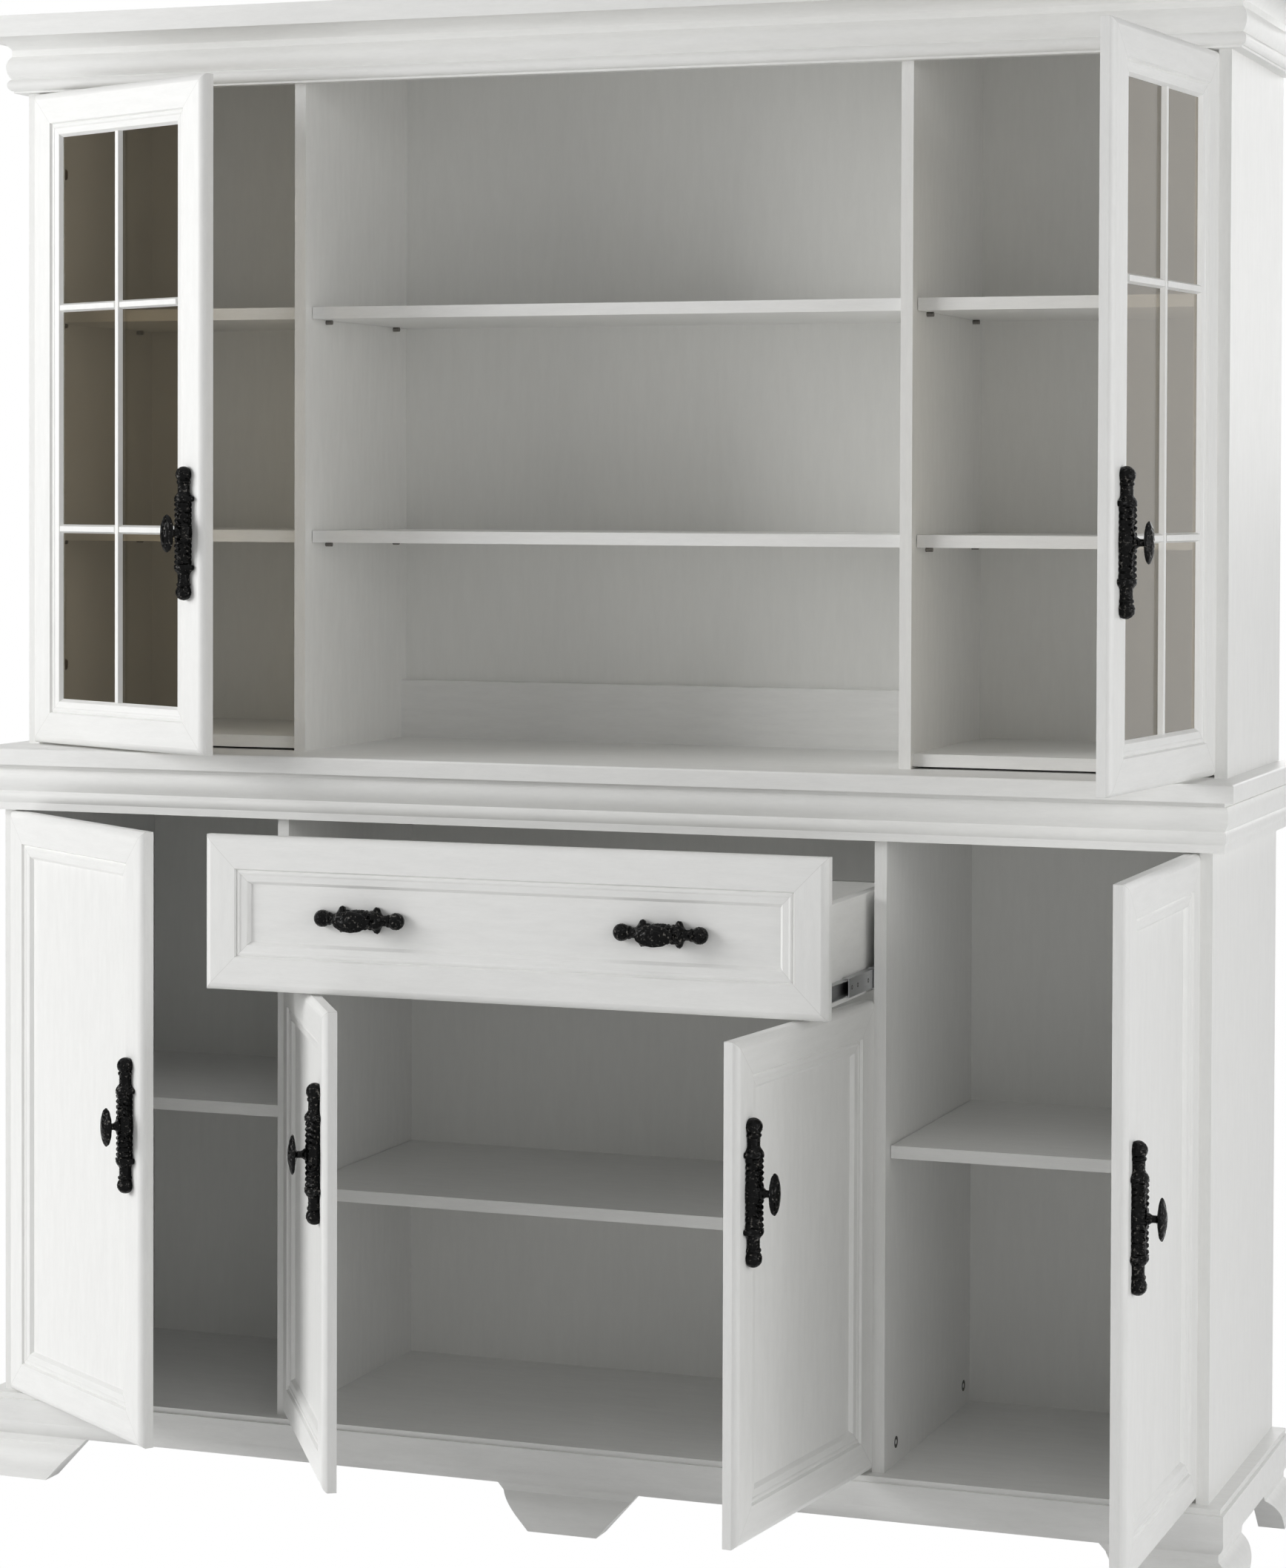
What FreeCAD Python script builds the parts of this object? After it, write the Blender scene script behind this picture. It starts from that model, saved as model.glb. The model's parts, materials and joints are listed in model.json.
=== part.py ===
"""Two-part kitchen dresser: a lower cupboard with one wide drawer, and a glazed hutch on top.

Millimetres.  +X is to the right of someone facing the dresser, +Y goes towards the wall and
+Z is up.  The origin is on the floor, under the middle foot of the front apron.  The doors and
the drawer are drawn standing open at the angles and the travel given below.
"""

import FreeCAD
import Part
import math
import os

Vector = FreeCAD.Vector

# Boards
board = 16.0
back_sheet = 5.0
overrun = 5.0

# Base: moulded apron rails on moulded feet
floor_top = 111.0
base_overhang = 22.7
apron_thickness = 24.0
apron_nosing = 7.0
apron_nosing_inset = 4.7
apron_round = 18.7
apron_round_in = 7.0
foot_height = 55.3
foot_neck = 9.3
foot_toe = 14.0
foot_toe_out = 11.0
foot_swell_share = 0.75
foot_swell_rise_share = 0.6
corner_foot_top = 156.0
corner_foot_bottom = 104.0
rear_foot_top = 137.0
rear_foot_bottom = 84.0
middle_foot_top = 194.0
middle_foot_bottom = 95.0

# Lower cupboard
lower_width = 1674.0
lower_depth = 405.6
lower_height = 861.0
lower_divider_spacing = 830.6
lower_middle_shelf = 304.0
lower_side_shelf = 411.0
shelf_setback = 20.0
shelf_play = 1.0

# Counter and the moulding under it
counter_thickness = 22.5
counter_overhang = 31.4
counter_round = 3.0
counter_groove_height = 6.0
counter_groove_out = 20.5
counter_ovolo_height = 30.0
counter_ovolo_out = 23.5
counter_bead_height = 16.0
counter_bead_out = 21.0
counter_neck_height = 10.0
counter_neck_out = 18.0

# Hutch
hutch_side_out = 3.0
hutch_depth = 336.0
hutch_height = 898.2
hutch_divider_spacing = 850.6
hutch_bottom_lift = 3.0
hutch_bottom_setback = 10.0
hutch_shelf_heights = (297.5, 599.5)
back_rail_height = 82.0

# Crown
crown_height = 102.0
crown_foot_out = 15.0
crown_foot_height = 3.0
crown_bead_out = 22.0
crown_bead_height = 16.0
crown_ovolo_out = 23.0
crown_ovolo_height = 31.0
crown_neck_out = 17.0
crown_neck_height = 9.0
crown_cove_height = 14.0
crown_fascia_out = 58.0
crown_fascia_thickness = 18.0

# Doors
door_thickness = 18.0
door_proud = 22.0
door_gap = 3.0
door_top_gap = 2.5
upper_left_angle = 25.4
lower_left_angle = 34.5
middle_left_angle = 57.0
middle_right_angle = 83.4
upper_right_angle = 83.5
lower_right_angle = 90.0

# Mitred frames of the doors and of the drawer front
frame_width = 62.0
frame_edge_drop = 6.5
frame_bevel = 14.0
frame_step = 2.0
frame_step_drop = 3.4
frame_bead = 6.0
frame_bead_rise = 1.2
frame_slope = 8.0
frame_lip = 4.0
frame_lip_drop = 4.2
rebate_depth = 9.0
rebate_width = 6.0
panel_thickness = 6.0
glass_thickness = 4.0
infill_play = 0.5
muntin_width = 12.0
muntin_crest = 7.0
muntin_depth = 6.0
muntin_spacing = 302.0

# Concealed hinges
hinge_offset = 104.0
pivot_inset = 10.0
pivot_depth = 15.0
cup_radius = 17.4
cup_play = 0.1
cup_centre = 22.5
cup_depth = 13.0
cup_wall = 0.8
cup_floor = 0.7
ear_thickness = 1.2
ear_start = 8.0
ear_end = 30.0
ear_width = 20.0
ear_screw = 24.0
hinge_screw = 2.2
pin_radius = 1.4
pin_play = 0.05
knuckle_radius = 2.4
arm_thickness = 2.5
arm_width = 12.0
arm_reach = 18.0
arm_rise = 18.3
arm_tail = 40.0
plate_thickness = 2.0
plate_length = 50.0
plate_width = 14.0
plate_wing = 16.0
plate_wing_width = 46.0
plate_screw = 16.0

# Cast handles of the doors
handle_length = 176.0
handle_inset = 32.0
lower_handle_share = 0.5215
upper_handle_share = 0.327
handle_neck = 20.5
handle_rings = 4

# Cast pulls of the drawer
pull_length = 123.0
pull_spacing = 404.0
pull_drop = 2.0
pull_neck = 15.2
pull_rings = 1

# Casting of every handle and pull
casting_axis = 5.5
ball = 10.8
neck = 8.0
neck_bead = 9.3
neck_bead_length = 4.0
collar = 12.6
collar_length = 8.0
shaft = 10.6
ring_rise = 1.4
boss = 12.8
boss_length = 26.0
lug_reach = 16.5
lug_root = 5.0
lug_tip = 3.0

# Oval knob on every handle and pull
knob_seat = 17.2
knob_foot = 7.5
knob_foot_height = 5.0
stem_radius = 4.6
knob_long = 50.0
knob_short = 27.0
knob_start = 29.0
knob_thickness = 10.0
knob_back_share = 0.6
knob_face_share = 0.84
knob_crest_share = 0.45

# Drawer
drawer_front_overlap = 9.6
drawer_front_height = 197.5
drawer_front_thickness = 18.0
drawer_stop = 1.0
drawer_pull_out = 205.0
drawer_side_thickness = 14.0
drawer_side_height = 126.0
drawer_side_lift = 5.5
drawer_back_room = 51.6
drawer_bottom_thickness = 5.0
drawer_bottom_lift = 10.0
drawer_groove = 6.0
drawer_groove_play = 0.2

# Telescopic slides
slide_gap = 12.7
slide_height = 27.0
slide_end_room = 5.0
slide_setback = 3.0
slide_lift = 6.0
slide_sheet = 1.2
slide_play = 0.5
slide_lip = 8.5

# Shelf pins
pin_shelf_radius = 3.0
pin_shelf_length = 9.0
pin_shelf_inset = 45.0

# Places that follow from the sizes above
lower_half = lower_width / 2
hutch_half = lower_half + hutch_side_out
lower_front = base_overhang - apron_thickness / 2
back_plane = lower_front + lower_depth
hutch_front = back_plane - hutch_depth
sheet_front = back_plane - back_sheet
apron_inner_half = lower_half + base_overhang - apron_thickness
apron_inner_front = apron_thickness / 2
lower_top = floor_top + lower_height
counter_top = lower_top + counter_thickness
counter_ovolo_low = counter_neck_height + counter_bead_height
counter_ovolo_top = counter_ovolo_low + counter_ovolo_height
counter_moulding_height = counter_ovolo_top + counter_groove_height
moulding_bottom = lower_top - counter_moulding_height
crown_bottom = counter_top + hutch_height
hutch_top = crown_bottom + crown_height
hutch_ceiling = hutch_top - board
lower_inner = lower_half - board
hutch_inner = hutch_half - board
lower_divider_inner = (lower_divider_spacing - board) / 2
lower_divider_outer = lower_divider_inner + board
hutch_divider_inner = (hutch_divider_spacing - board) / 2
hutch_divider_outer = hutch_divider_inner + board
door_bottom = floor_top + door_gap
lower_door_height = moulding_bottom - door_top_gap - door_bottom
upper_door_bottom = counter_top + door_gap
upper_door_height = crown_bottom - door_top_gap - upper_door_bottom
pin_half_length = math.sqrt(cup_radius ** 2 - (cup_centre - pivot_inset + pin_radius) ** 2)
drawer_front_top = moulding_bottom - door_top_gap
drawer_front_bottom = drawer_front_top - drawer_front_height
drawer_front_half = lower_divider_inner + drawer_front_overlap
drawer_depth = sheet_front - drawer_back_room - lower_front + drawer_stop
drawer_back_face = lower_front - drawer_stop - drawer_pull_out
drawer_side_outer = lower_divider_inner - slide_gap
drawer_side_inner = drawer_side_outer - drawer_side_thickness
drawer_side_bottom = drawer_front_bottom + drawer_side_lift
slide_length = drawer_depth - slide_end_room
middle_door_height = drawer_front_bottom - door_gap - door_bottom
frame_flat = frame_width - frame_lip - frame_slope - frame_bead - frame_step


def box(x_low, x_high, y_low, y_high, z_low, z_high):
    """Upright block between two corners."""
    return Part.makeBox(x_high - x_low, y_high - y_low, z_high - z_low, Vector(x_low, y_low, z_low))


def prism(corners, travel):
    """Straight-sided outline, pushed along a vector."""
    return Part.Face(Part.makePolygon(corners + corners[:1])).extrude(travel)


def outline(steps, place):
    """Face inside lines and arcs: a step is (end,) for a line or (through, end) for an arc."""
    edges = []
    here = steps[0][-1]
    for step in steps[1:] + steps[:1]:
        points = [place(*point) for point in (here,) + tuple(step)]
        curve = Part.LineSegment(*points) if len(points) == 2 else Part.Arc(*points)
        edges.append(curve.toShape())
        here = step[-1]
    return Part.Face(Part.Wire(edges))


def mirrored(shape):
    """The same piece on the other side of the middle plane."""
    return shape.mirror(Vector(0, 0, 0), Vector(1, 0, 0))


def both_sides(shapes):
    """Pieces of the left half together with their mirror images."""
    return shapes + [mirrored(shape) for shape in shapes]


def export(node, solids):
    """Write one node, as one solid or as a group of solids."""
    shape = solids[0] if len(solids) == 1 else Part.makeCompound(solids)
    shape.exportStep("parts/" + node + ".step")


def mitred_lengths(steps, half_width, front, bottom):
    """Front, left and right length of a moulding that goes round a front, mitred at its corners."""
    reach = max(point[0] for step in steps for point in step) + overrun
    height = max(point[1] for step in steps for point in step)
    rise = Vector(0, 0, height)

    def at_front(out, up):
        return Vector(-half_width - reach, front - out, bottom + up)

    def at_left(out, up):
        return Vector(-half_width - out, front - reach, bottom + up)

    outer = Vector(-half_width - reach, front - reach, bottom)
    inner = Vector(-half_width, front, bottom)
    front_plan = prism([outer, inner, Vector(half_width, front, bottom),
                        Vector(half_width + reach, front - reach, bottom)], rise)
    left_plan = prism([outer, inner, Vector(-half_width, back_plane, bottom),
                       Vector(-half_width - reach, back_plane, bottom)], rise)
    front_run = outline(steps, at_front).extrude(Vector(2 * (half_width + reach), 0, 0))
    left_run = outline(steps, at_left).extrude(Vector(0, back_plane - front + reach, 0))
    left = left_run.common(left_plan).Solids[0]
    return [front_run.common(front_plan).Solids[0], left, mirrored(left)]


def gap_between_feet(start, end, start_slope, end_slope, place, travel):
    """Space between two feet, wider at the floor because the feet taper downwards."""
    corners = [place(start, foot_height + overrun), place(start, foot_height), place(start - start_slope, 0),
               place(start - start_slope, -overrun), place(end + end_slope, -overrun),
               place(end + end_slope, 0), place(end, foot_height), place(end, foot_height + overrun)]
    return prism(corners, travel)


def base_rails():
    """Front and side aprons with a nosing and a rounded lower edge, and a plain rail at the back."""
    rail_height = floor_top - foot_height
    step = rail_height - apron_nosing
    nosing = apron_thickness - apron_nosing_inset
    under = apron_thickness - apron_round_in
    bow_share = math.sqrt(2) / 2
    bow = (under + apron_round_in * bow_share, apron_round * (1 - bow_share))
    steps = [((0, 0),), ((under, 0),),
             (bow, (apron_thickness, apron_round)),
             ((apron_thickness, step),), ((nosing, step),), ((nosing, rail_height),), ((0, rail_height),)]
    rails = mitred_lengths(steps, apron_inner_half, apron_inner_front, foot_height)
    back = box(-apron_inner_half, apron_inner_half, back_plane - board, back_plane,
               foot_height, floor_top - board)
    return rails + [back]


def base_feet():
    """Swelling feet under the aprons, mitred at the front corners, and a plain one at the back."""
    under = apron_thickness - apron_round_in
    toe = apron_thickness + foot_toe_out
    neck = foot_height - foot_neck
    swell = (under + (toe - under) * foot_swell_share, foot_toe + (neck - foot_toe) * foot_swell_rise_share)
    steps = [((0, 0),), ((toe, 0),), ((toe, foot_toe),), (swell, (under, neck)),
             ((under, foot_height),), ((0, foot_height),)]
    front, left, right = mitred_lengths(steps, apron_inner_half, apron_inner_front, 0)
    outer_half = apron_inner_half + apron_thickness
    corner_slope = corner_foot_top - corner_foot_bottom
    middle_slope = (middle_foot_top - middle_foot_bottom) / 2
    through = toe + 2 * overrun

    def on_front(x, z):
        return Vector(x, apron_inner_front + overrun, z)

    def on_left(y, z):
        return Vector(-apron_inner_half + overrun, y, z)

    front_gap = gap_between_feet(corner_foot_top - outer_half, -middle_foot_top / 2, corner_slope,
                                 middle_slope, on_front, Vector(0, -through, 0))
    side_gap = gap_between_feet(apron_inner_front - apron_thickness + corner_foot_top,
                                back_plane - rear_foot_top, corner_slope,
                                rear_foot_top - rear_foot_bottom, on_left, Vector(-through, 0, 0))
    half = middle_foot_bottom / 2
    back = box(-half, half, back_plane - board, back_plane, 0, foot_height)
    front_feet = front.cut(front_gap).cut(mirrored(front_gap)).Solids
    return front_feet + both_sides(left.cut(side_gap).Solids) + [back]


def lower_cupboard():
    """Boards of the lower cupboard, by node."""
    half = apron_inner_half
    left = box(-lower_half, -lower_inner, lower_front, back_plane, floor_top, lower_top)
    divider = box(-lower_divider_outer, -lower_divider_inner, lower_front, sheet_front,
                  floor_top, lower_top - board)
    middle_top = floor_top + lower_middle_shelf
    side_top = floor_top + lower_side_shelf
    side_shelf = box(-lower_inner + shelf_play, -lower_divider_outer - shelf_play,
                     lower_front + shelf_setback, sheet_front, side_top - board, side_top)
    middle_shelf = box(-lower_divider_inner + shelf_play, lower_divider_inner - shelf_play,
                       lower_front + shelf_setback, sheet_front, middle_top - board, middle_top)
    return {
        "lower_floor": [box(-half, half, apron_inner_front, back_plane, floor_top - board, floor_top)],
        "lower_side_left": [left],
        "lower_side_right": [mirrored(left)],
        "lower_dividers": both_sides([divider]),
        "lower_top": [box(-lower_inner, lower_inner, lower_front, sheet_front,
                          lower_top - board, lower_top)],
        "lower_back": [box(-lower_inner, lower_inner, sheet_front, back_plane, floor_top, lower_top)],
        "lower_shelf_middle": [middle_shelf],
        "lower_shelves_side": both_sides([side_shelf]),
    }


def counter_slab():
    """Counter with its front and end edges slightly rounded."""
    half = lower_half + counter_overhang
    front = lower_front - counter_overhang
    slab = box(-half, half, front, back_plane, lower_top, counter_top)
    rounded = [edge for edge in slab.Edges
               if min(vertex.Z for vertex in edge.Vertexes) == counter_top
               and min(vertex.Y for vertex in edge.Vertexes) == front]
    return slab.makeFillet(counter_round, rounded)


def counter_moulding():
    """Grooved ovolo and bead under the counter, round the front and both ends."""
    top = counter_moulding_height
    bead_low = counter_neck_height
    ovolo_bulge = (counter_ovolo_out, counter_ovolo_top - counter_ovolo_height / 3)
    bead_bulge = (counter_bead_out, (counter_ovolo_low + bead_low) / 2)
    steps = [((0, 0),), ((counter_neck_out, 0),), ((counter_neck_out, bead_low),),
             (bead_bulge, (counter_neck_out, counter_ovolo_low)),
             (ovolo_bulge, (counter_groove_out, counter_ovolo_top)),
             ((counter_neck_out, counter_ovolo_top),), ((counter_neck_out, top),), ((0, top),)]
    return mitred_lengths(steps, lower_half, lower_front, moulding_bottom)


def crown():
    """Crown with foot, bead, ovolo, neck, cove and fascia, hollow behind the fascia."""
    bead_low = crown_foot_height
    bead_top = bead_low + crown_bead_height
    ovolo_top = bead_top + crown_ovolo_height
    neck_top = ovolo_top + crown_neck_height
    cove_top = neck_top + crown_cove_height
    cove_run = crown_fascia_out - crown_neck_out
    cove_bow = (crown_neck_out + cove_run * (1 - math.sqrt(3) / 2), neck_top + crown_cove_height / 2)
    fascia_back = crown_fascia_out - crown_fascia_thickness
    steps = [((0, 0),), ((crown_foot_out, 0),), ((crown_foot_out, bead_low),),
             ((crown_neck_out, bead_low),),
             ((crown_bead_out, bead_low + crown_bead_height / 2), (crown_neck_out, bead_top)),
             ((crown_ovolo_out, bead_top + crown_ovolo_height / 2), (crown_neck_out, ovolo_top)),
             ((crown_neck_out, neck_top),),
             (cove_bow, (crown_fascia_out, cove_top)),
             ((crown_fascia_out, crown_height),), ((fascia_back, crown_height),), ((0, ovolo_top),)]
    return mitred_lengths(steps, hutch_half, hutch_front, crown_bottom)


def hutch():
    """Boards of the hutch, by node."""
    left = box(-hutch_half, -hutch_inner, hutch_front, back_plane, counter_top, hutch_top)
    divider = box(-hutch_divider_outer, -hutch_divider_inner, hutch_front, sheet_front,
                  counter_top, hutch_ceiling)
    bottom_low = counter_top + hutch_bottom_lift
    bottom = box(-hutch_inner, -hutch_divider_outer, hutch_front + hutch_bottom_setback, sheet_front,
                 bottom_low, bottom_low + board)
    middle_shelves = []
    side_shelves = []
    for height in hutch_shelf_heights:
        top = counter_top + height
        middle_shelves.append(box(-hutch_divider_inner + shelf_play, hutch_divider_inner - shelf_play,
                                  hutch_front + shelf_setback, sheet_front, top - board, top))
        side_shelves.append(box(-hutch_inner + shelf_play, -hutch_divider_outer - shelf_play,
                                hutch_front + shelf_setback, sheet_front, top - board, top))
    return {
        "hutch_side_left": [left],
        "hutch_side_right": [mirrored(left)],
        "hutch_dividers": both_sides([divider]),
        "hutch_bottoms": both_sides([bottom]),
        "hutch_top": [box(-hutch_inner, hutch_inner, hutch_front, back_plane, hutch_ceiling, hutch_top)],
        "hutch_back": [box(-hutch_inner, hutch_inner, sheet_front, back_plane, counter_top, hutch_ceiling)],
        "hutch_back_rail": [box(-hutch_divider_inner, hutch_divider_inner, sheet_front - board,
                                sheet_front, counter_top, counter_top + back_rail_height)],
        "hutch_shelves_middle": middle_shelves,
        "hutch_shelves_side": both_sides(side_shelves),
    }


def pins_under(shelf_top, left_face, right_face, front):
    """Four pins under one shelf, two on each board beside it."""
    height = shelf_top - board - pin_shelf_radius
    pins = []
    for depth in (front + shelf_setback + pin_shelf_inset, sheet_front - pin_shelf_inset):
        for face, way in ((left_face, 1), (right_face, -1)):
            pins.append(Part.makeCylinder(pin_shelf_radius, pin_shelf_length,
                                          Vector(face, depth, height), Vector(way, 0, 0)))
    return pins


def shelf_pins():
    """Pins under all the shelves."""
    pins = pins_under(floor_top + lower_middle_shelf, -lower_divider_inner, lower_divider_inner, lower_front)
    pins += both_sides(pins_under(floor_top + lower_side_shelf, -lower_inner, -lower_divider_outer,
                                  lower_front))
    for height in hutch_shelf_heights:
        top = counter_top + height
        pins += pins_under(top, -hutch_divider_inner, hutch_divider_inner, hutch_front)
        pins += both_sides(pins_under(top, -hutch_inner, -hutch_divider_outer, hutch_front))
    return pins


def frame_section(thickness):
    """Section of a frame member, as distance from the outer edge and depth behind the front."""
    step_end = frame_flat + frame_step
    bead_end = step_end + frame_bead
    lip = frame_width - frame_lip
    seat = frame_width - rebate_width
    bow_share = 1 - math.sqrt(2) / 2
    return [((0, thickness),), ((0, frame_edge_drop),),
            ((frame_bevel * bow_share, frame_edge_drop * bow_share), (frame_bevel, 0)),
            ((frame_flat, 0),), ((step_end, frame_step_drop),),
            (((step_end + bead_end) / 2, frame_step_drop - frame_bead_rise), (bead_end, frame_step_drop)),
            ((lip, frame_lip_drop),), ((frame_width, rebate_depth),),
            ((seat, rebate_depth),), ((seat, thickness),)]


def frame_members(width, height, thickness):
    """Bottom, top, hinge-side and free-side member of a frame, mitred at the corners."""
    section = frame_section(thickness)
    reach = frame_width
    through = Vector(0, thickness, 0)
    lower_left, lower_right = Vector(0, 0, 0), Vector(width, 0, 0)
    upper_left, upper_right = Vector(0, 0, height), Vector(width, 0, height)
    sight = [Vector(reach, 0, reach), Vector(width - reach, 0, reach),
             Vector(width - reach, 0, height - reach), Vector(reach, 0, height - reach)]
    along, upward = Vector(width, 0, 0), Vector(0, 0, height)
    runs = [(lambda s, d: Vector(0, d, s), along, [lower_left, lower_right, sight[1], sight[0]]),
            (lambda s, d: Vector(0, d, height - s), along, [upper_left, upper_right, sight[2], sight[3]]),
            (lambda s, d: Vector(s, d, 0), upward, [lower_left, upper_left, sight[3], sight[0]]),
            (lambda s, d: Vector(width - s, d, 0), upward, [lower_right, upper_right, sight[2], sight[1]])]
    return [outline(section, place).extrude(travel).common(prism(plan, through)).Solids[0]
            for place, travel, plan in runs]


def infill(width, height, thickness):
    """Sheet that lies in the rebate of a frame."""
    edge = frame_width - rebate_width + infill_play
    return box(edge, width - edge, rebate_depth, rebate_depth + thickness, edge, height - edge)


def muntin(start, run, across):
    """Bar with a narrower crest, lying on the glass along a run."""
    back, crest = muntin_width / 2, muntin_crest / 2
    deep, front = Vector(0, rebate_depth, 0), Vector(0, rebate_depth - muntin_depth, 0)
    corners = [start + deep - across * back, start + deep + across * back,
               start + front + across * crest, start + front - across * crest]
    return prism(corners, run)


def muntins(width, height):
    """One upright bar and two cross bars, which butt against it."""
    side, up = Vector(1, 0, 0), Vector(0, 0, 1)
    sight_width, sight_height = width - 2 * frame_width, height - 2 * frame_width
    bars = [muntin(Vector(width / 2, 0, frame_width), up * sight_height, side)]
    half_run = side * ((sight_width - muntin_width) / 2)
    for level in ((height - muntin_spacing) / 2, (height + muntin_spacing) / 2):
        bars.append(muntin(Vector(frame_width, 0, level), half_run, up))
        bars.append(muntin(Vector((width + muntin_width) / 2, 0, level), half_run, up))
    return bars


def ellipse_wire(long_axis, short_axis, depth, share):
    """Upright oval of the knob at one depth in front of the door."""
    oval = Part.Ellipse(Vector(0, -depth, long_axis * share / 2), Vector(short_axis * share / 2, -depth, 0),
                        Vector(0, -depth, 0))
    return Part.Wire(oval.toShape())


def knob():
    """Oval knob on a round stem with a tapered foot, from its seat on the casting towards -Y."""
    outward = Vector(0, -1, 0)
    foot_end = knob_seat + knob_foot_height
    foot = Part.makeCone(knob_foot, stem_radius, knob_foot_height, Vector(0, -knob_seat, 0), outward)
    stem_length = knob_start + knob_thickness / 2 - foot_end
    stem = Part.makeCylinder(stem_radius, stem_length, Vector(0, -foot_end, 0), outward)
    depths_and_shares = ((0, knob_back_share), (1 / 3, 1),
                         (2 / 3, knob_face_share), (1, knob_crest_share))
    wires = [ellipse_wire(knob_long, knob_short, knob_start + knob_thickness * depth, share)
             for depth, share in depths_and_shares]
    return Part.makeLoft(wires, True, True).fuse(stem).fuse(foot).removeSplitter().Solids[0]


def casting_outline(half, neck_length, rings):
    """Half of a casting's outline from its middle to its tip: boss, rings, collar, neck and ball."""
    ball_centre = half - ball
    ball_start = ball_centre - math.sqrt(ball ** 2 - neck ** 2)
    bead_low = ball_start - neck_bead_length
    collar_top = ball_start - neck_length
    collar_low = collar_top - collar_length
    boss_end = boss_length / 2
    pitch = (collar_low - boss_end) / rings
    steps = [((shaft, boss_end),)]
    for ring in range(rings):
        start = boss_end + ring * pitch
        steps.append(((shaft + ring_rise, start + pitch / 2), (shaft, start + pitch)))
    steps += [((collar, (collar_low + collar_top) / 2), (neck, collar_top)), ((neck, bead_low),),
              ((neck_bead, (bead_low + ball_start) / 2), (neck, ball_start)),
              ((ball, ball_centre), (0, half))]
    return steps, (collar_low + collar_top) / 2


def turned_round(steps):
    """The same outline read from its tip back to its middle, on the other half."""
    points = [point for step in reversed(steps) for point in reversed(step)]
    lower = [(points[0],)]
    rest = points[1:]
    for step in reversed(steps):
        used = rest[:len(step)]
        if used:
            lower.append(tuple(used))
        rest = rest[len(step):]
    return [tuple((radius, -height) for radius, height in step) for step in lower]


def casting(length, neck_length, rings):
    """Round casting, upright, flat where it lies on the face, with rings, lugged collars and ball ends."""
    upper, collar_level = casting_outline(length / 2, neck_length, rings)
    steps = turned_round(upper) + [((boss, 0), upper[0][0])] + upper[1:]
    axis = Vector(0, -casting_axis, 0)
    bar = outline(steps, lambda r, z: Vector(r, -casting_axis, z)).revolve(axis, Vector(0, 0, 1), 360)
    for level in (-collar_level, collar_level):
        for way in (Vector(6, 1, 0), Vector(-6, 1, 0)):
            bar = bar.fuse(Part.makeCone(lug_root, lug_tip, lug_reach, axis + Vector(0, 0, level), way))
    seat = Part.makeCylinder(knob_foot, boss, Vector(0, -knob_seat, 0), Vector(0, -1, 0))
    reach = length + lug_reach
    return bar.common(box(-reach, reach, -reach, 0, -reach, reach)).cut(seat).removeSplitter().Solids[0]


def handle(length, neck_length, rings):
    """Casting and knob of one handle."""
    return [casting(length, neck_length, rings), knob()]


def hinge_cup():
    """Cup in the back of a door with the pivot pin across it, and its two screw ears on the back."""
    centre = cup_centre - pivot_inset
    back = door_thickness - pivot_depth
    inward = Vector(0, -1, 0)
    cup = Part.makeCylinder(cup_radius, cup_depth, Vector(centre, back, 0), inward)
    for end in (-1, 1):
        low, high = sorted((end * ear_start, end * ear_end))
        ear = box(centre - ear_width / 2, centre + ear_width / 2, back, back + ear_thickness, low, high)
        screw_start = Vector(centre, back, end * ear_screw)
        cup = cup.fuse(ear.cut(Part.makeCylinder(hinge_screw, ear_thickness, screw_start, -inward)))
    hollow = Part.makeCylinder(cup_radius - cup_wall, cup_depth - cup_floor + ear_thickness,
                               Vector(centre, back + ear_thickness, 0), inward)
    pin = Part.makeCylinder(pin_radius, 2 * pin_half_length, Vector(0, 0, -pin_half_length))
    return cup.cut(hollow).fuse(pin).removeSplitter().Solids[0]


def hinge_arm():
    """Swan-neck arm from the pivot round the edge of the door to the plate."""
    half = arm_width / 2
    tail_side = plate_thickness - pivot_inset - door_gap
    first = arm_thickness / 2
    outer = [(0, -first), (arm_reach, -first), (arm_reach, arm_rise),
             (tail_side + arm_thickness, arm_rise), (tail_side + arm_thickness, arm_rise + arm_tail),
             (tail_side, arm_rise + arm_tail), (tail_side, arm_rise - arm_thickness),
             (arm_reach - arm_thickness, arm_rise - arm_thickness), (arm_reach - arm_thickness, first),
             (0, first)]
    strap = prism([Vector(x, y, -half) for x, y in outer], Vector(0, 0, arm_width))
    knuckle = Part.makeCylinder(knuckle_radius, arm_width, Vector(0, 0, -half))
    bore = Part.makeCylinder(pin_radius + pin_play, arm_width, Vector(0, 0, -half))
    return strap.fuse(knuckle).cut(bore).removeSplitter().Solids[0]


def hinge_plate():
    """Cross-shaped plate on the side or divider, under the tail of the arm, with two screw holes."""
    face = -pivot_inset - door_gap
    start = arm_rise - arm_thickness
    middle = start + plate_length / 2
    body = box(face, face + plate_thickness, start, start + plate_length, -plate_width / 2, plate_width / 2)
    wings = box(face, face + plate_thickness, middle - plate_wing / 2, middle + plate_wing / 2,
                -plate_wing_width / 2, plate_wing_width / 2)
    plate = body.fuse(wings)
    for level in (-plate_screw, plate_screw):
        screw_start = Vector(face, middle, level)
        plate = plate.cut(Part.makeCylinder(hinge_screw, plate_thickness, screw_start, Vector(1, 0, 0)))
    return plate.removeSplitter().Solids[0]


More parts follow.
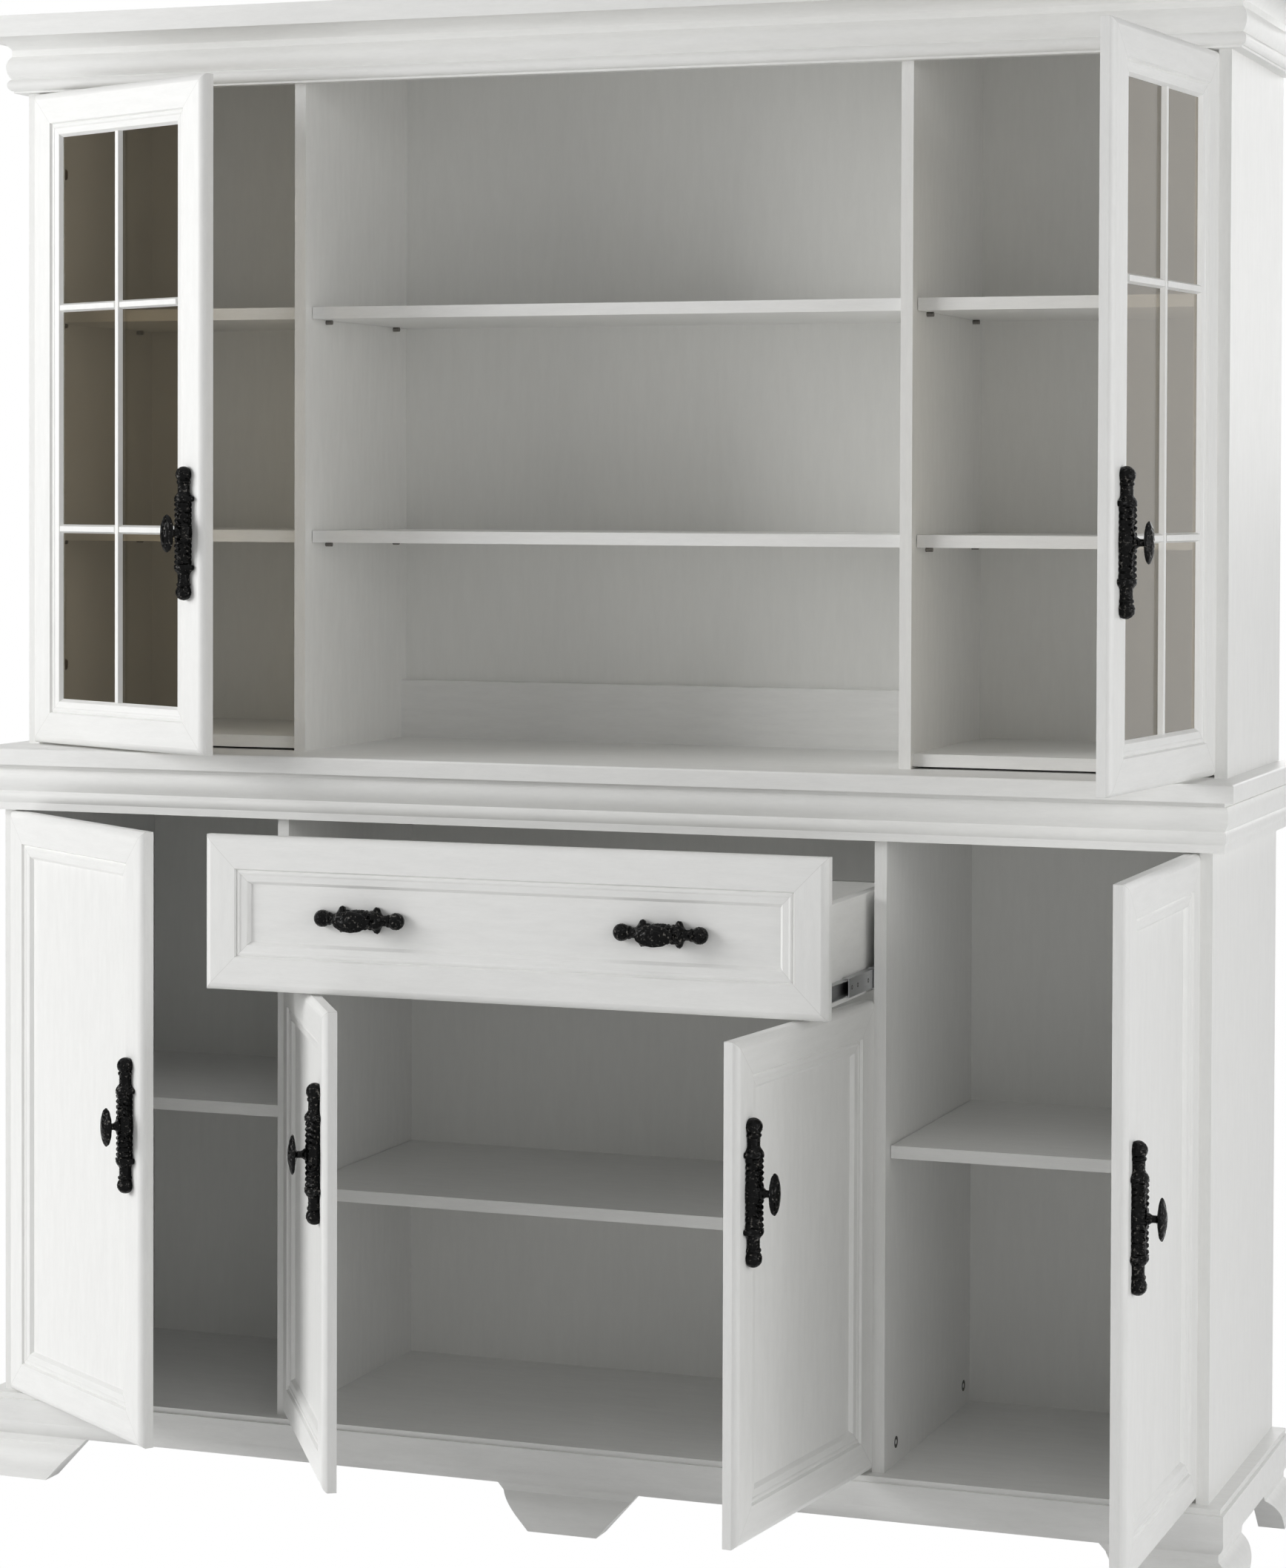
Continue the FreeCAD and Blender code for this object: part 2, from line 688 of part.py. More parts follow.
class Door:
    """A door hinged on its left edge: its bay, its sizes and the angle at which it stands."""

    def __init__(self, left_face, width, front, bottom, height, handle_rise, angle, glazed):
        self.hinge_edge = left_face + door_gap
        self.width = width
        self.front = front
        self.bottom = bottom
        self.height = height
        self.handle_rise = handle_rise
        self.angle = angle
        self.glazed = glazed
        self.pivot = Vector(self.hinge_edge + pivot_inset, front - door_proud + pivot_depth, 0)
        self.hinge_levels = (hinge_offset, height - hinge_offset)

    def stand(self, shapes):
        """Move pieces from the door's own corner to the dresser and open them by the angle."""
        placed = []
        for shape in shapes:
            shape = shape.copy()
            shape.translate(Vector(self.hinge_edge, self.front - door_proud, self.bottom))
            shape.rotate(self.pivot, Vector(0, 0, 1), -self.angle)
            placed.append(shape)
        return placed

    def frame(self):
        members = frame_members(self.width, self.height, door_thickness)
        for level in self.hinge_levels:
            bore = Part.makeCylinder(cup_radius + cup_play, cup_depth + overrun,
                                     Vector(cup_centre, door_thickness - cup_depth - cup_play, level),
                                     Vector(0, 1, 0))
            members[2] = members[2].cut(bore).Solids[0]
        return members

    def cups(self):
        cups = []
        for level in self.hinge_levels:
            cup = hinge_cup()
            cup.translate(Vector(pivot_inset, pivot_depth, level))
            cups.append(cup)
        return cups

    def grip(self):
        pieces = handle(handle_length, handle_neck, handle_rings)
        for piece in pieces:
            piece.translate(Vector(self.width - handle_inset, 0, self.handle_rise))
        return pieces

    def moving_nodes(self):
        """Pieces that turn with the door, by the end of their node's name."""
        pieces = {"frame": self.frame(), "handle": self.grip(), "hinge_cups": self.cups()}
        if self.glazed:
            pieces["glass"] = [infill(self.width, self.height, glass_thickness)]
            pieces["muntins"] = muntins(self.width, self.height)
        else:
            pieces["panel"] = [infill(self.width, self.height, panel_thickness)]
        return {ending: self.stand(shapes) for ending, shapes in pieces.items()}

    def fixed_hardware(self, maker):
        """One arm or plate at each hinge, on the board beside the door."""
        pieces = []
        for level in self.hinge_levels:
            piece = maker()
            piece.translate(self.pivot + Vector(0, 0, self.bottom + level))
            pieces.append(piece)
        return pieces


def left_door(bay, angle):
    """Door of a bay in the left half of the dresser."""
    if bay == "upper":
        width = hutch_inner - hutch_divider_outer - 2 * door_gap
        return Door(-hutch_inner, width, hutch_front, upper_door_bottom, upper_door_height,
                    upper_door_height * upper_handle_share, angle, True)
    if bay == "lower":
        width = lower_inner - lower_divider_outer - 2 * door_gap
        return Door(-lower_inner, width, lower_front, door_bottom, lower_door_height,
                    lower_door_height * lower_handle_share, angle, False)
    width = lower_divider_inner - door_gap * 3 / 2
    return Door(-lower_divider_inner, width, lower_front, door_bottom, middle_door_height,
                lower_door_height * lower_handle_share, angle, False)


def doors():
    """All six doors with the hardware that carries them, by node."""
    nodes = {"hinge_arms": [], "hinge_plates": []}
    places = (("upper", "left", upper_left_angle), ("upper", "right", upper_right_angle),
              ("lower", "left", lower_left_angle), ("lower", "right", lower_right_angle),
              ("middle", "left", middle_left_angle), ("middle", "right", middle_right_angle))
    for bay, side, angle in places:
        door = left_door(bay, angle)
        place = (lambda shapes: shapes) if side == "left" else (lambda shapes: [mirrored(s) for s in shapes])
        for ending, shapes in door.moving_nodes().items():
            nodes[bay + "_" + side + "_door_" + ending] = place(shapes)
        nodes["hinge_arms"] += place(door.fixed_hardware(hinge_arm))
        nodes["hinge_plates"] += place(door.fixed_hardware(hinge_plate))
    return nodes


def drawer_front():
    """Frame and panel of the drawer front, at its open place."""
    width = 2 * drawer_front_half
    place = Vector(-drawer_front_half, drawer_back_face - drawer_front_thickness, drawer_front_bottom)
    frame = frame_members(width, drawer_front_height, drawer_front_thickness)
    panel = infill(width, drawer_front_height, drawer_front_thickness - rebate_depth)
    for piece in frame + [panel]:
        piece.translate(place)
    return frame, panel


def drawer_pulls():
    """Two lying pulls on the panel of the drawer front."""
    face = drawer_back_face - drawer_front_thickness + rebate_depth
    level = (drawer_front_bottom + drawer_front_top) / 2 - pull_drop
    pulls = []
    for side in (-1, 1):
        for piece in handle(pull_length, pull_neck, pull_rings):
            piece.rotate(Vector(0, 0, 0), Vector(0, 1, 0), 90)
            piece.translate(Vector(side * pull_spacing / 2, face, level))
            pulls.append(piece)
    return pulls


def drawer():
    """Front, box and pulls of the drawer, by node."""
    frame, panel = drawer_front()
    top = drawer_side_bottom + drawer_side_height
    back = drawer_back_face + drawer_depth
    sheet_low = drawer_side_bottom + drawer_bottom_lift
    sheet_top = sheet_low + drawer_bottom_thickness
    sheet_edge = drawer_side_inner + drawer_groove - drawer_groove_play
    side = box(-drawer_side_outer, -drawer_side_inner, drawer_back_face, back, drawer_side_bottom, top)
    groove = box(-drawer_side_inner - drawer_groove, -drawer_side_inner + overrun, drawer_back_face, back,
                 sheet_low, sheet_top)
    return {
        "drawer_front_frame": frame,
        "drawer_front_panel": [panel],
        "drawer_sides": both_sides([side.cut(groove).Solids[0]]),
        "drawer_back": [box(-drawer_side_inner, drawer_side_inner, back - drawer_side_thickness, back,
                            sheet_top, top)],
        "drawer_bottom": [box(-sheet_edge, sheet_edge, drawer_back_face, back, sheet_low, sheet_top)],
        "drawer_pulls": drawer_pulls(),
    }


def channel(web, lip, half_height, start):
    """Rail of bent sheet, with its web at one X and the edges of its flanges at another."""
    sheet = math.copysign(slide_sheet, lip - web)
    middle = drawer_side_bottom + slide_lift + slide_height / 2
    low, high = middle - half_height, middle + half_height
    section = [(web, low), (lip, low), (lip, low + slide_sheet), (web + sheet, low + slide_sheet),
               (web + sheet, high - slide_sheet), (lip, high - slide_sheet), (lip, high), (web, high)]
    return prism([Vector(x, start, z) for x, z in section], Vector(0, slide_length, 0))


def slides():
    """Cabinet, middle and drawer rails on both sides of the drawer, nested with a running gap."""
    face = -lower_divider_inner
    nest = slide_sheet + slide_play
    half = slide_height / 2
    start = lower_front + slide_setback
    cabinet = channel(face, face + slide_lip, half, start)
    middle = channel(face + nest, face + slide_lip + nest, half - nest, start - drawer_pull_out / 2)
    drawer_rail = channel(face + slide_gap, face + 2 * nest, half - 2 * nest, start - drawer_pull_out)
    return {
        "slide_cabinet_rails": both_sides([cabinet]),
        "slide_middle_rails": both_sides([middle]),
        "slide_drawer_rails": both_sides([drawer_rail]),
    }


def main():
    os.makedirs("parts", exist_ok=True)
    nodes = {"base_apron": base_rails(), "base_feet": base_feet(), "counter_slab": [counter_slab()],
             "counter_moulding": counter_moulding(), "crown": crown(), "shelf_pins": shelf_pins()}
    for group in (lower_cupboard(), hutch(), doors(), drawer(), slides()):
        nodes.update(group)
    for node, solids in nodes.items():
        export(node, solids)


main()
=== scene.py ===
import json
import math

import bpy
import numpy as np
from mathutils import Matrix, Vector

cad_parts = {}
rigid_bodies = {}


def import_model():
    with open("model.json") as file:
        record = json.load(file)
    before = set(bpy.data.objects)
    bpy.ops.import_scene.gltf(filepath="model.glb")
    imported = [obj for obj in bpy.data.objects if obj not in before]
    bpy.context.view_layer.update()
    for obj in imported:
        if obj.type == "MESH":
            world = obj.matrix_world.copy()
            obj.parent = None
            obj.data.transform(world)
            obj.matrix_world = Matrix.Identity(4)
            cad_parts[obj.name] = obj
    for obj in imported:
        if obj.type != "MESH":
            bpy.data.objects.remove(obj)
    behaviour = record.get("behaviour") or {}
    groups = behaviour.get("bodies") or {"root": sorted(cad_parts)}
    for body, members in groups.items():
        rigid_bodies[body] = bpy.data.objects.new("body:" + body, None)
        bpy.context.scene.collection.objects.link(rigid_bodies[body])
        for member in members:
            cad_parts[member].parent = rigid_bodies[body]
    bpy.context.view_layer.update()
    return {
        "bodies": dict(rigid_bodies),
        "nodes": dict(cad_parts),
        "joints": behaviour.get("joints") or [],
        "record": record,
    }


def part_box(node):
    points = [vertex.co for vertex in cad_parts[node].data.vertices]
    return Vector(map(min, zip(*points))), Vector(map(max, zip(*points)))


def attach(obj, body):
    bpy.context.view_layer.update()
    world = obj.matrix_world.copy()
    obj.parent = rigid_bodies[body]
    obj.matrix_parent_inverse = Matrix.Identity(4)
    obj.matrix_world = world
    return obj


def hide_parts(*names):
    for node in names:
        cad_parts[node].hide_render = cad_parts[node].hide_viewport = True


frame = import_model()
nodes = frame["nodes"]

DOORS = [name for name in frame["bodies"] if name.endswith("_door")]
MIRRORED = np.array([-1, 1, 1])


def linear(hex_colour):
    """Turns an sRGB hex value into the linear colour that sockets take."""
    parts = [int(hex_colour[i:i + 2], 16) / 255 for i in (1, 3, 5)]
    return [c / 12.92 if c <= 0.04045 else ((c + 0.055) / 1.055) ** 2.4 for c in parts] + [1.0]


def feed(tree, node, inputs):
    """Fills a node's inputs: an output socket becomes a link, anything else a constant."""
    for key, value in inputs.items():
        if isinstance(value, bpy.types.NodeSocket):
            tree.links.new(value, node.inputs[key])
        else:
            node.inputs[key].default_value = value


def add(tree, kind, inputs=None, **settings):
    """Adds one node: settings are its properties, inputs its sockets by name or number.

    A Mix node has its factor at 0, two values at 2 and 3, two vectors at 4 and 5 and two colours
    at 6 and 7; its value, vector and colour come out at 0, 1 and 2.
    """
    node = tree.nodes.new(kind)
    for key, value in settings.items():
        setattr(node, key, value)
    feed(tree, node, inputs or {})
    return node


def new_material(name):
    """Empty node material with a Principled surface; gives material, tree and that shader."""
    material = bpy.data.materials.new(name)
    material.use_nodes = True
    tree = material.node_tree
    tree.nodes.clear()
    shader = add(tree, "ShaderNodeBsdfPrincipled")
    add(tree, "ShaderNodeOutputMaterial", {"Surface": shader.outputs[0]})
    return material, tree, shader


def mesh_points(obj):
    """All corner points of a node's mesh as rows of x, y, z."""
    points = np.empty(len(obj.data.vertices) * 3, dtype=np.float32)
    obj.data.vertices.foreach_get("co", points)
    return points.reshape(-1, 3)


def door_joint(door):
    """The hinge that carries a door."""
    return next(joint for joint in frame["joints"] if joint["child"] == door)


def door_turn(door):
    """A hinge's pivot, the angle its door stands open at rest, and that turn as a matrix."""
    joint = door_joint(door)
    angle = math.radians(joint["axis"][2] * -joint["range_deg"][0])
    c, s = math.cos(angle), math.sin(angle)
    return np.array(joint["pos_m"]), angle, np.array([[c, -s, 0], [s, c, 0], [0, 0, 1]])


def closed_door(door):
    """Turn and shift that bring a door's frame to the origin as if closed, and its size there."""
    pivot, angle, opened = door_turn(door)
    points = (mesh_points(nodes[door + "_frame"]) - pivot) @ opened
    low, high = points.min(0), points.max(0)
    return -angle, -(pivot @ opened) - (low + high) / 2, high - low


# Finishes. Lengths are in metres.
FOIL_WHITE, FOIL_SHADE = "#F6F6F4", "#F1F1EF"
SHEET_WHITE, SHEET_SHADE = "#F3F3F0", "#F0F0ED"
MITRE_SHADE = "#8F8B84"
ALONG, ACROSS = 1 / 0.060, 1 / 0.009
PORES_PER_BAND = 5.0
PORE_RELIEF = 0.00006


def grain_finish(tree, shader, vector, pale, shade, roughness):
    """White foil over printed and embossed pine: soft growth bands with finer pores in them.

    The vector comes in with one unit for 60 mm along the grain and one unit for 9 mm across it,
    which is the size of a band; a pore is a fifth of that.
    """
    bands = add(tree, "ShaderNodeTexNoise",
                {"Vector": vector, "Scale": 1.0, "Detail": 2.0, "Roughness": 0.45})
    finer = add(tree, "ShaderNodeVectorMath", {0: vector, 1: [PORES_PER_BAND] * 3},
                operation="MULTIPLY")
    pores = add(tree, "ShaderNodeTexNoise",
                {"Vector": finer.outputs[0], "Scale": 1.0, "Detail": 3.0, "Roughness": 0.6})
    both = add(tree, "ShaderNodeMix", {0: 0.45, 2: bands.outputs[0], 3: pores.outputs[0]})
    ramp = add(tree, "ShaderNodeMapRange",
               {"Value": both.outputs[0], "From Min": 0.36, "From Max": 0.64})
    tint = add(tree, "ShaderNodeMix", {0: ramp.outputs[0], 6: linear(shade), 7: linear(pale)},
               data_type="RGBA")
    bump = add(tree, "ShaderNodeBump",
               {"Height": pores.outputs[0], "Strength": 0.16, "Distance": PORE_RELIEF})
    rough = add(tree, "ShaderNodeMapRange",
                {"Value": pores.outputs[0], "From Min": 0.3, "From Max": 0.7,
                 "To Min": roughness + 0.05, "To Max": roughness - 0.05})
    feed(tree, shader, {"IOR": 1.5, "Base Color": tint.outputs[2], "Normal": bump.outputs[0],
                        "Roughness": rough.outputs[0]})
    return tint


def board_foil(name, axis, pale=FOIL_WHITE, shade=FOIL_SHADE, roughness=0.42):
    """Particle board wrapped in white pine foil, its grain along one axis of the piece."""
    material, tree, shader = new_material(name)
    place = add(tree, "ShaderNodeTexCoord").outputs["Object"]
    scale = [ALONG if k == axis else ACROSS for k in range(3)]
    vector = add(tree, "ShaderNodeMapping", {"Vector": place, "Scale": scale}).outputs[0]
    grain_finish(tree, shader, vector, pale, shade, roughness)
    return material


def frame_foil(name, turn, shift, size):
    """Mitred frame in pine foil: grain up the stiles and along the rails, a hairline between them.

    Object coordinates are turned back to the closed door about its middle; a point nearer to a
    side edge than to the top or bottom edge is on a stile.
    """
    material, tree, shader = new_material(name)
    place = add(tree, "ShaderNodeTexCoord").outputs["Object"]
    local = add(tree, "ShaderNodeMapping",
                {"Vector": place, "Location": shift, "Rotation": (0, 0, turn)}).outputs[0]
    split = add(tree, "ShaderNodeSeparateXYZ", {0: local}).outputs
    edges = []
    for axis in (0, 2):
        away = add(tree, "ShaderNodeMath", {0: split[axis]}, operation="ABSOLUTE")
        edges.append(add(tree, "ShaderNodeMath", {0: size[axis] / 2, 1: away.outputs[0]},
                         operation="SUBTRACT").outputs[0])
    from_side, from_end = edges
    on_stile = add(tree, "ShaderNodeMath", {0: from_side, 1: from_end}, operation="LESS_THAN")
    upright = add(tree, "ShaderNodeVectorMath", {0: local, 1: (ACROSS, ACROSS, ALONG)},
                  operation="MULTIPLY")
    lying = add(tree, "ShaderNodeVectorMath", {0: local, 1: (ALONG, ACROSS, ACROSS)},
                operation="MULTIPLY")
    vector = add(tree, "ShaderNodeMix",
                 {0: on_stile.outputs[0], 4: lying.outputs[0], 5: upright.outputs[0]},
                 data_type="VECTOR").outputs[1]
    tint = grain_finish(tree, shader, vector, FOIL_WHITE, FOIL_SHADE, 0.4)
    apart = add(tree, "ShaderNodeMath", {0: from_side, 1: from_end}, operation="SUBTRACT")
    apart = add(tree, "ShaderNodeMath", {0: apart.outputs[0]}, operation="ABSOLUTE")
    line = add(tree, "ShaderNodeMapRange",
               {"Value": apart.outputs[0], "From Min": 0.0003, "From Max": 0.0008,
                "To Min": 0.18, "To Max": 0.0})
    joined = add(tree, "ShaderNodeMix",
                 {0: line.outputs[0], 6: tint.outputs[2], 7: linear(MITRE_SHADE)},
                 data_type="RGBA")
    feed(tree, shader, {"Base Color": joined.outputs[2]})
    return material


def cast_iron(name):
    """Black antique cast iron: sand-cast, hammered in dents of 5 mm and lacquered.

    Bright specks are painted into its colour where the grit runs high, as painted glints; they are
    drawn 4 mm wide so that they show.
    """
    material, tree, shader = new_material(name)
    place = add(tree, "ShaderNodeTexCoord").outputs["Object"]
    dents = add(tree, "ShaderNodeTexVoronoi", {"Vector": place, "Scale": 1 / 0.005},
                feature="SMOOTH_F1")
    grit = add(tree, "ShaderNodeTexNoise", {"Vector": place, "Scale": 1 / 0.004, "Detail": 2.5})
    both = add(tree, "ShaderNodeMix", {0: 0.25, 2: dents.outputs["Distance"], 3: grit.outputs[0]})
    bump = add(tree, "ShaderNodeBump",
               {"Height": both.outputs[0], "Strength": 0.9, "Distance": 0.002})
    # Painted glints: where the grit runs high the black colour turns light grey, standing in for
    # highlights.
    painted_glint_mask = add(tree, "ShaderNodeMapRange",
               {"Value": grit.outputs[0], "From Min": 0.6, "From Max": 0.76})
    tint = add(tree, "ShaderNodeMix",
               {0: painted_glint_mask.outputs[0], 6: linear("#040404"), 7: linear("#7A7772")},
               data_type="RGBA")
    rough = add(tree, "ShaderNodeMapRange",
                {"Value": grit.outputs[0], "To Min": 0.34, "To Max": 0.1})
    feed(tree, shader, {"Specular IOR Level": 0.1, "Base Color": tint.outputs[2],
                        "Normal": bump.outputs[0], "Roughness": rough.outputs[0]})
    return material


def sheet_metal(name, pale, dark, roughness):
    """Rolled and plated sheet steel with lengthwise rolling marks 0.8 mm apart."""
    material, tree, shader = new_material(name)
    place = add(tree, "ShaderNodeTexCoord").outputs["Object"]
    scale = (1 / 0.0008, 1 / 0.03, 1 / 0.0008)
    vector = add(tree, "ShaderNodeMapping", {"Vector": place, "Scale": scale}).outputs[0]
    marks = add(tree, "ShaderNodeTexNoise", {"Vector": vector, "Scale": 1.0, "Detail": 2.0})
    tint = add(tree, "ShaderNodeMix", {0: marks.outputs[0], 6: linear(dark), 7: linear(pale)},
               data_type="RGBA")
    rough = add(tree, "ShaderNodeMapRange",
                {"Value": marks.outputs[0], "To Min": roughness - 0.06, "To Max": roughness + 0.06})
    feed(tree, shader, {"Metallic": 1.0, "Base Color": tint.outputs[2],
                        "Roughness": rough.outputs[0]})
    return material


def die_cast(name):
    """Zinc die casting left raw and gone dull grey, with a grit of 0.5 mm."""
    material, tree, shader = new_material(name)
    place = add(tree, "ShaderNodeTexCoord").outputs["Object"]
    grit = add(tree, "ShaderNodeTexNoise", {"Vector": place, "Scale": 1 / 0.0005, "Detail": 2.0})
    tint = add(tree, "ShaderNodeMix",
               {0: grit.outputs[0], 6: linear("#3C3C39"), 7: linear("#5A5A56")},
               data_type="RGBA")
    bump = add(tree, "ShaderNodeBump",
               {"Height": grit.outputs[0], "Strength": 0.3, "Distance": 0.0002})
    feed(tree, shader, {"Roughness": 0.6, "Base Color": tint.outputs[2],
                        "Normal": bump.outputs[0]})
    return material


def float_glass(name, pale, dark):
    """Bronze float glass: fire-polished, with a slow wave of 120 mm in its tint and surface."""
    material, tree, shader = new_material(name)
    place = add(tree, "ShaderNodeTexCoord").outputs["Object"]
    draw = add(tree, "ShaderNodeTexNoise", {"Vector": place, "Scale": 1 / 0.12, "Detail": 1.0})
    tint = add(tree, "ShaderNodeMix", {0: draw.outputs[0], 6: linear(dark), 7: linear(pale)},
               data_type="RGBA")
    bump = add(tree, "ShaderNodeBump",
               {"Height": draw.outputs[0], "Strength": 0.05, "Distance": 0.001})
    feed(tree, shader, {"Transmission Weight": 1.0, "IOR": 1.5, "Roughness": 0.02,
                        "Base Color": tint.outputs[2], "Normal": bump.outputs[0]})
    return material


def paint(obj, material):
    """Puts one material on all of a piece's faces."""
    obj.data.materials.clear()
    obj.data.materials.append(material)


along_x = board_foil("pine_foil_lying", 0)
along_y = board_foil("pine_foil_deep", 1)
along_z = board_foil("pine_foil_upright", 2)
sheet_foil = board_foil("white_hardboard", 2, SHEET_WHITE, SHEET_SHADE, 0.55)
iron = cast_iron("black_cast_iron")
glass = float_glass("bronze_float_glass", "#B3AA99", "#A9A08F")
bronze_steel = sheet_metal("bronzed_steel", "#846E54", "#5C4A37", 0.38)
zinc_steel = sheet_metal("zinc_plated_steel", "#C4C5C6", "#9FA0A2", 0.4)
cam_zinc = die_cast("die_cast_zinc")
dark_steel = sheet_metal("dark_plated_steel", "#8F8C87", "#6C6965", 0.42)

SLOT_FINISH = {"clear_glass": glass, "black_iron": iron, "hinge_steel": bronze_steel,
               "slide_steel": zinc_steel, "pin_steel": dark_steel}
LYING = ("crown", "counter_moulding", "counter_slab", "base_apron", "base_feet", "lower_floor",
         "lower_top", "lower_shelf_middle", "lower_shelves_side", "hutch_top", "hutch_bottoms",
         "hutch_back_rail", "drawer_front_panel", "drawer_back", "drawer_bottom")
for part in frame["record"]["subparts"]:
    node = part["node"]
    if part["material_slot"] in SLOT_FINISH:
        paint(nodes[node], SLOT_FINISH[part["material_slot"]])
    elif node in LYING or node.startswith("hutch_shel"):
        paint(nodes[node], along_x)
    elif node == "drawer_sides":
        paint(nodes[node], along_y)
    elif node.endswith("_back"):
        paint(nodes[node], sheet_foil)
    else:
        paint(nodes[node], along_z)
for door in DOORS:
    paint(nodes[door + "_frame"], frame_foil(door + "_frame_foil", *closed_door(door)))
low, high = map(np.array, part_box("drawer_front_frame"))
paint(nodes["drawer_front_frame"],
      frame_foil("drawer_frame_foil", 0.0, -(low + high) / 2, high - low))


def smooth_line(points, count):
    """Smooth curve of cubic pieces through points, with a slope at each from its neighbours."""
    points = np.asarray(points, dtype=float)
    padded = np.vstack([2 * points[0] - points[1], points, 2 * points[-1] - points[-2]])
    t = np.linspace(0, len(points) - 1, count)
    k = np.minimum(t.astype(int), len(points) - 2)
    f = (t - k)[:, None]
    a, b, c, d = padded[k], padded[k + 1], padded[k + 2], padded[k + 3]
    return 0.5 * (2 * b + (c - a) * f + (2 * a - 5 * b + 4 * c - d) * f ** 2
                  + (3 * b - a - 3 * c + d) * f ** 3)


def grid_faces(rows, columns):
    """Quads of a grid whose columns close on themselves, and a face that shuts each end row."""
    i, j = np.meshgrid(np.arange(rows - 1), np.arange(columns), indexing="ij")
    k = (j + 1) % columns
    quads = np.stack([i * columns + j, i * columns + k,
                      (i + 1) * columns + k, (i + 1) * columns + j], -1).reshape(-1, 4)
    ends = np.arange(columns)
    return quads.tolist() + [ends[::-1].tolist(), (ends + (rows - 1) * columns).tolist()]


def turned_over(faces):
    """The same faces seen from their other side."""
    return [face[::-1] for face in faces]


def around(count):
    """Evenly spaced angles of one full turn, as a row."""
    return np.linspace(0, 2 * np.pi, count, endpoint=False)[None, :]


def new_piece(name, points, faces, material, slot, body):
    """Makes one smooth piece from points in metres, with its finish, and rides it on a body."""
    mesh = bpy.data.meshes.new(name)
    mesh.from_pydata(points, [], faces)
    mesh.polygons.foreach_set("use_smooth", np.ones(len(faces), dtype=bool))
    mesh.update()
    piece = bpy.data.objects.new(name, mesh)
    bpy.context.scene.collection.objects.link(piece)
    paint(piece, material)
    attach(piece, body)
    return piece


def copies(points, faces, places):
    """A copy of points and faces at each place; a place is a function of the points."""
    whole = np.vstack([place(points) for place in places])
    return whole, [[corner + k * len(points) for corner in face]
                   for k in range(len(places)) for face in faces]


def at_spots(points, faces, spots):
    """A copy of points and faces moved to each spot."""
    return copies(points, faces, [lambda p, spot=spot: p + spot for spot in spots])


# Castings, in millimetres.
BALL_RADIUS, BALL_FOOT_RADIUS = 10.8, 8.0
BEAD_SWELL, BEAD_HALF, BEAD_BEFORE_BALL = 1.6, 2.4, 2.6
COLLAR_RADIUS, COLLAR_HALF, COLLAR_SLOPE = 12.6, 4.0, 9.0
SHAFT_RADIUS, RING_SWELL = 9.7, 1.9
BOSS_RADIUS, BOSS_SWELL, BOSS_HALF = 10.0, 2.6, 13.0
LUG_RADIUS, LUG_SIZE, LUG_ARM, LUG_TURN = 16.8, 4.8, 12.0, 0.18
STUDS = 6
DENT_SHARE = 0.022
AXIS_ABOVE_FACE = 5.5
TIP_RADIUS = 0.02
BAR_COLUMNS, KNOB_ROWS, KNOB_COLUMNS = 84, 84, 96


def bulge(distance, half):
    """Half an ellipse: one in the middle, nothing from the distance half outwards."""
    return np.sqrt(np.maximum(1 - (distance / half) ** 2, 0))


